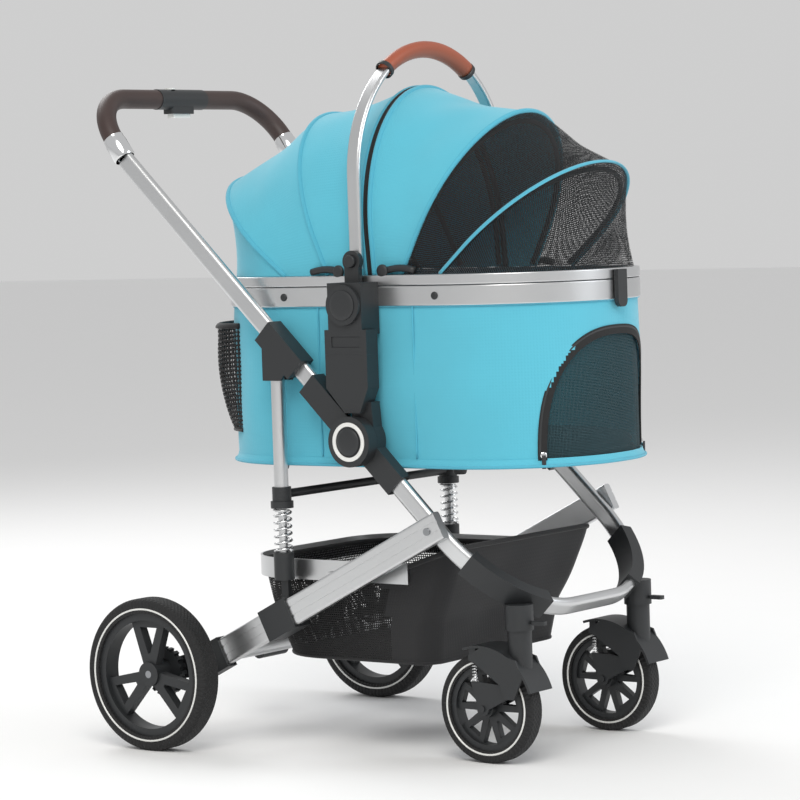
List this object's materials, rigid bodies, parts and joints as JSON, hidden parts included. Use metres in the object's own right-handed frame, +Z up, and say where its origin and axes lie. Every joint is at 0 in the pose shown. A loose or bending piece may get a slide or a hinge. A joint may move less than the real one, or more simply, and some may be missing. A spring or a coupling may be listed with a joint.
{
  "type": "pet stroller",
  "caption": "Folding pet stroller: a tubular frame on fixed rear wheels and front casters, with a lift-off cloth carrier under a folding canopy.",
  "frame": {"origin": "on the ground, under the middle of the object's box", "axes": "+X forwards, +Y to the left, +Z up"},
  "size_m": [0.9114, 0.6608, 1.133],
  "materials": {
    "anodised_aluminium": "satin anodised",
    "black_nylon": "moulded, fine grain",
    "chrome_steel": "bright plated",
    "steel": "drawn",
    "tyre_foam": "knurled tread",
    "turquoise_cloth": "woven polyester",
    "black_cloth": "woven polyester and mesh",
    "dark_leather": "stitched",
    "silver_paint": "painted"
  },
  "bodies": {
    "lower_frame": {"lower_tube": "anodised_aluminium", "hub_casings": "black_nylon", "corner_brackets": "black_nylon", "leg_pins": "steel", "storage_basket": "black_cloth"},
    "upper_frame": {"upper_tubes": "anodised_aluminium", "hub_covers": "black_nylon", "handlebar_tube": "steel", "handlebar_grip": "dark_leather", "handlebar_housing": "black_nylon", "strut_brackets": "black_nylon"},
    "handlebar_button": {"handlebar_button": "silver_paint"},
    "handlebar_trigger": {"handlebar_trigger": "silver_paint"},
    "rear_frame": {"rear_legs": "anodised_aluminium", "rear_cross_tube": "anodised_aluminium", "leg_clevises": "black_nylon", "axle_brackets": "black_nylon", "rear_axle": "steel", "basket_rim": "anodised_aluminium"},
    "brake_pedal": {"brake_pedal": "black_nylon"},
    "struts": {"strut_tubes": "anodised_aluminium", "strut_crossbar": "black_nylon", "strut_springs": "chrome_steel"},
    "strut_feet": {"strut_feet": "black_nylon"},
    "carrier": {"carrier_lower_rail": "anodised_aluminium", "carrier_upper_rail": "anodised_aluminium", "carrier_body": "turquoise_cloth", "carrier_floor": "black_cloth", "carrier_adapters": "black_nylon", "carry_knuckles": "black_nylon", "front_canopy": "turquoise_cloth", "rear_canopy": "turquoise_cloth"},
    "carry_handle": {"carry_handle": "anodised_aluminium"},
    "front_latch": {"front_latch": "black_nylon"},
    "front_low_bow": {"front_low_bow": "black_nylon"},
    "front_mid_bow": {"front_mid_bow": "black_nylon"},
    "front_zip_bow": {"front_zip_bow": "black_nylon"},
    "rear_low_bow": {"rear_low_bow": "black_nylon"},
    "rear_mid_bow": {"rear_mid_bow": "black_nylon"},
    "rear_zip_bow": {"rear_zip_bow": "black_nylon"},
    "rear_wheel_right": {"rear_tyre_right": "tyre_foam", "rear_rim_right": "black_nylon"},
    "caster_right": {"fender_right": "black_nylon", "front_spring_right": "chrome_steel"},
    "front_arm_right": {"front_arm_right": "black_nylon"},
    "front_wheel_right": {"front_tyre_right": "tyre_foam", "front_rim_right": "black_nylon"},
    "swivel_lock_right": {"swivel_lock_right": "black_nylon"},
    "release_button_right": {"release_button_right": "black_nylon"},
    "carry_knob_right": {"carry_knob_right": "black_nylon"},
    "rear_wheel_left": {"rear_tyre_left": "tyre_foam", "rear_rim_left": "black_nylon"},
    "caster_left": {"fender_left": "black_nylon", "front_spring_left": "chrome_steel"},
    "front_arm_left": {"front_arm_left": "black_nylon"},
    "front_wheel_left": {"front_tyre_left": "tyre_foam", "front_rim_left": "black_nylon"},
    "swivel_lock_left": {"swivel_lock_left": "black_nylon"},
    "release_button_left": {"release_button_left": "black_nylon"},
    "carry_knob_left": {"carry_knob_left": "black_nylon"}
  },
  "joints": [
    {"name": "fold", "type": "hinge", "parent": "lower_frame", "child": "upper_frame", "pos_m": [0.104, 0, 0.507], "axis": [0, -1, 0], "range_deg": [0, 84]},
    {"name": "leg_fold", "type": "hinge", "parent": "lower_frame", "child": "rear_frame", "pos_m": [0.24468, 0, 0.36924], "axis": [0, -1, 0], "range_deg": [0, 56], "deforming": ["storage_basket"]},
    {"name": "strut_fold", "type": "hinge", "parent": "upper_frame", "child": "struts", "pos_m": [-0.0575, 0, 0.608], "axis": [0, 1, 0], "range_deg": [0, 54]},
    {"name": "strut_suspension", "type": "slide", "parent": "struts", "child": "strut_feet", "axis": [0, 0, 1], "range_m": [0, 0.008], "stiffness_N_per_m": 20000, "springref_m": -0.001, "deforming": ["strut_springs"]},
    {"name": "brake_press", "type": "hinge", "parent": "rear_frame", "child": "brake_pedal", "pos_m": [-0.277, 0, 0.125], "axis": [0, -1, 0], "range_deg": [0, 18]},
    {"name": "release_press", "type": "slide", "parent": "upper_frame", "child": "handlebar_button", "axis": [0, 0, -1], "range_m": [0, 0.0015], "stiffness_N_per_m": 800, "springref_m": -0.001},
    {"name": "trigger_squeeze", "type": "slide", "parent": "upper_frame", "child": "handlebar_trigger", "axis": [0, 0, 1], "range_m": [0, 0.004], "stiffness_N_per_m": 1500, "springref_m": -0.002},
    {"name": "rear_wheel_right_roll", "type": "hinge", "parent": "rear_frame", "child": "rear_wheel_right", "pos_m": [-0.277, 0, 0.125], "axis": [0, 1, 0], "continuous": true},
    {"name": "caster_right_swivel", "type": "hinge", "parent": "lower_frame", "child": "caster_right", "pos_m": [0.3576, -0.1731, 0.2], "axis": [0, 0, 1], "continuous": true},
    {"name": "front_arm_right_spring", "type": "hinge", "parent": "caster_right", "child": "front_arm_right", "pos_m": [0.353, -0.1731, 0.118], "axis": [0, 1, 0], "range_deg": [0, 5], "stiffness_Nm_per_rad": 120, "springref_deg": -1.15, "deforming": ["front_spring_right"]},
    {"name": "front_wheel_right_roll", "type": "hinge", "parent": "front_arm_right", "child": "front_wheel_right", "pos_m": [0.2997, -0.1731, 0.0875], "axis": [0, 1, 0], "continuous": true},
    {"name": "swivel_lock_right_flip", "type": "hinge", "parent": "lower_frame", "child": "swivel_lock_right", "pos_m": [0.385, -0.1731, 0.224], "axis": [0, -1, 0], "range_deg": [0, 30]},
    {"name": "release_button_right_press", "type": "slide", "parent": "carrier", "child": "release_button_right", "axis": [0, 1, 0], "range_m": [0, 0.003], "stiffness_N_per_m": 800, "springref_m": -0.001},
    {"name": "carry_knob_right_press", "type": "slide", "parent": "carrier", "child": "carry_knob_right", "axis": [0, 1, 0], "range_m": [0, 0.003], "stiffness_N_per_m": 800, "springref_m": -0.001},
    {"name": "rear_wheel_left_roll", "type": "hinge", "parent": "rear_frame", "child": "rear_wheel_left", "pos_m": [-0.277, 0, 0.125], "axis": [0, 1, 0], "continuous": true},
    {"name": "caster_left_swivel", "type": "hinge", "parent": "lower_frame", "child": "caster_left", "pos_m": [0.3576, 0.1731, 0.2], "axis": [0, 0, 1], "continuous": true},
    {"name": "front_arm_left_spring", "type": "hinge", "parent": "caster_left", "child": "front_arm_left", "pos_m": [0.353, 0.1731, 0.118], "axis": [0, 1, 0], "range_deg": [0, 5], "stiffness_Nm_per_rad": 120, "springref_deg": -1.15, "deforming": ["front_spring_left"]},
    {"name": "front_wheel_left_roll", "type": "hinge", "parent": "front_arm_left", "child": "front_wheel_left", "pos_m": [0.2997, 0.1731, 0.0875], "axis": [0, 1, 0], "continuous": true},
    {"name": "swivel_lock_left_flip", "type": "hinge", "parent": "lower_frame", "child": "swivel_lock_left", "pos_m": [0.385, 0.1731, 0.224], "axis": [0, -1, 0], "range_deg": [0, 30]},
    {"name": "release_button_left_press", "type": "slide", "parent": "carrier", "child": "release_button_left", "axis": [0, -1, 0], "range_m": [0, 0.003], "stiffness_N_per_m": 800, "springref_m": -0.001},
    {"name": "carry_knob_left_press", "type": "slide", "parent": "carrier", "child": "carry_knob_left", "axis": [0, -1, 0], "range_m": [0, 0.003], "stiffness_N_per_m": 800, "springref_m": -0.001},
    {"name": "carrier_lift", "type": "slide", "parent": "lower_frame", "child": "carrier", "axis": [0, 0, 1], "range_m": [0, 0.12]},
    {"name": "carry_handle_tilt", "type": "hinge", "parent": "carrier", "child": "carry_handle", "pos_m": [0.09, 0, 0.79], "axis": [0, 1, 0], "range_deg": [-50, 50]},
    {"name": "front_latch_flip", "type": "hinge", "parent": "carrier", "child": "front_latch", "pos_m": [0.4515, 0, 0.762], "axis": [0, -1, 0], "range_deg": [0, 50]},
    {"name": "front_canopy_fold", "type": "hinge", "parent": "carrier", "child": "front_low_bow", "pos_m": [0.137, 0, 0.765], "axis": [0, 1, 0], "range_deg": [0, 15], "deforming": ["front_canopy"]},
    {"name": "front_mid_bow_fold", "type": "hinge", "parent": "front_low_bow", "child": "front_mid_bow", "pos_m": [0.137, 0, 0.765], "axis": [0, 1, 0], "range_deg": [0, 25]},
    {"name": "front_zip_bow_fold", "type": "hinge", "parent": "front_mid_bow", "child": "front_zip_bow", "pos_m": [0.137, 0, 0.765], "axis": [0, 1, 0], "range_deg": [0, 32]},
    {"name": "rear_canopy_fold", "type": "hinge", "parent": "carrier", "child": "rear_low_bow", "pos_m": [0.05, 0, 0.765], "axis": [0, -1, 0], "range_deg": [0, 12], "deforming": ["rear_canopy"]},
    {"name": "rear_mid_bow_fold", "type": "hinge", "parent": "rear_low_bow", "child": "rear_mid_bow", "pos_m": [0.05, 0, 0.765], "axis": [0, -1, 0], "range_deg": [0, 31]},
    {"name": "rear_zip_bow_fold", "type": "hinge", "parent": "rear_mid_bow", "child": "rear_zip_bow", "pos_m": [0.05, 0, 0.765], "axis": [0, -1, 0], "range_deg": [0, 26]}
  ],
  "couplings": [
    {"joint": "leg_fold", "follows": "fold", "ratio": 0.645},
    {"joint": "strut_fold", "follows": "fold", "ratio": 0.615},
    {"joint": "front_mid_bow_fold", "follows": "front_canopy_fold", "ratio": 1.6},
    {"joint": "front_zip_bow_fold", "follows": "front_canopy_fold", "ratio": 2.05},
    {"joint": "rear_mid_bow_fold", "follows": "rear_canopy_fold", "ratio": 2.5},
    {"joint": "rear_zip_bow_fold", "follows": "rear_canopy_fold", "ratio": 2.1}
  ]
}
